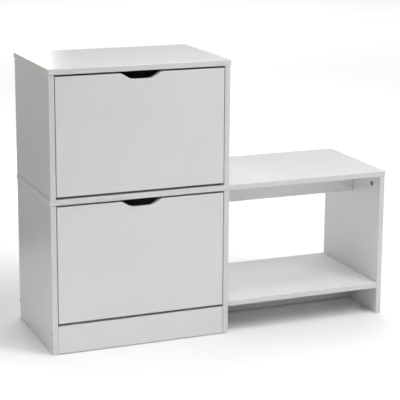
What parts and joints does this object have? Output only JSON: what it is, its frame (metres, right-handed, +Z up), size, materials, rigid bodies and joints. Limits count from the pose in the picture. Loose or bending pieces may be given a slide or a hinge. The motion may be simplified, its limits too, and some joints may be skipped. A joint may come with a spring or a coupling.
{
  "type": "shoe cabinet bench",
  "caption": "Low entryway unit with a tip-out shoe cabinet tower beside an open-fronted seat with a shelf below it.",
  "frame": {"origin": "on the floor, under the middle of the whole unit", "axes": "+X along the length from the tower to the bench, +Y from the front to the back, +Z up"},
  "size_m": [1.034, 0.352, 0.8],
  "materials": {
    "white_board": "satin white melamine on chipboard",
    "white_door": "satin white melamine on chipboard",
    "hardboard": "white-faced hardboard",
    "grey_plastic": "moulded grey plastic",
    "zinc_fitting": "dark zinc"
  },
  "bodies": {
    "cabinet": {"bench_end_panel": "white_board", "bench_end_panel_top_front_cam": "zinc_fitting", "bench_end_panel_top_rear_cam": "zinc_fitting", "bench_kick_rail": "white_board", "bench_shelf": "white_board", "bench_shelf_left_front_cam": "zinc_fitting", "bench_shelf_left_rear_cam": "zinc_fitting", "bench_shelf_right_front_cam": "zinc_fitting", "bench_shelf_right_rear_cam": "zinc_fitting", "bench_top_rail": "white_board", "front_plinth": "white_board", "lower_back_panel": "hardboard", "lower_left_hinge_pin": "zinc_fitting", "lower_left_side": "white_board", "lower_left_side_plinth_lower_screw": "zinc_fitting", "lower_left_side_plinth_upper_screw": "zinc_fitting", "lower_left_side_rear_rail_screw": "zinc_fitting", "lower_left_side_top_front_cam": "zinc_fitting", "lower_left_side_top_rear_cam": "zinc_fitting", "lower_left_stop_pin": "grey_plastic", "lower_right_hinge_pin": "zinc_fitting", "lower_right_stop_pin": "grey_plastic", "middle_upright": "white_board", "middle_upright_plinth_lower_screw": "zinc_fitting", "middle_upright_plinth_upper_screw": "zinc_fitting", "middle_upright_rear_rail_screw": "zinc_fitting", "middle_upright_top_front_cam": "zinc_fitting", "middle_upright_top_rear_cam": "zinc_fitting", "rear_rail": "white_board", "seat_panel": "white_board", "top_panel": "white_board", "upper_back_panel": "hardboard", "upper_left_hinge_pin": "zinc_fitting", "upper_left_side": "white_board", "upper_left_side_bottom_front_cam": "zinc_fitting", "upper_left_side_bottom_rear_cam": "zinc_fitting", "upper_left_side_top_front_cam": "zinc_fitting", "upper_left_side_top_rear_cam": "zinc_fitting", "upper_left_stop_pin": "grey_plastic", "upper_right_hinge_pin": "zinc_fitting", "upper_right_side": "white_board", "upper_right_side_bottom_front_cam": "zinc_fitting", "upper_right_side_bottom_rear_cam": "zinc_fitting", "upper_right_side_top_front_cam": "zinc_fitting", "upper_right_side_top_rear_cam": "zinc_fitting", "upper_right_stop_pin": "grey_plastic"},
    "upper_flap": {"upper_back_board": "hardboard", "upper_divider": "white_board", "upper_door": "white_door", "upper_front_tray": "white_board", "upper_left_bracket": "grey_plastic", "upper_rear_tray": "white_board", "upper_right_bracket": "grey_plastic"},
    "lower_flap": {"lower_back_board": "hardboard", "lower_divider": "white_board", "lower_door": "white_door", "lower_front_tray": "white_board", "lower_left_bracket": "grey_plastic", "lower_rear_tray": "white_board", "lower_right_bracket": "grey_plastic"}
  },
  "joints": [
    {"name": "upper_flap_tilt", "type": "hinge", "parent": "cabinet", "child": "upper_flap", "pos_m": [-0.252, -0.153, 0.497], "axis": [1, 0, 0], "range_deg": [0, 50]},
    {"name": "lower_flap_tilt", "type": "hinge", "parent": "cabinet", "child": "lower_flap", "pos_m": [-0.252, -0.153, 0.137], "axis": [1, 0, 0], "range_deg": [0, 50]}
  ]
}
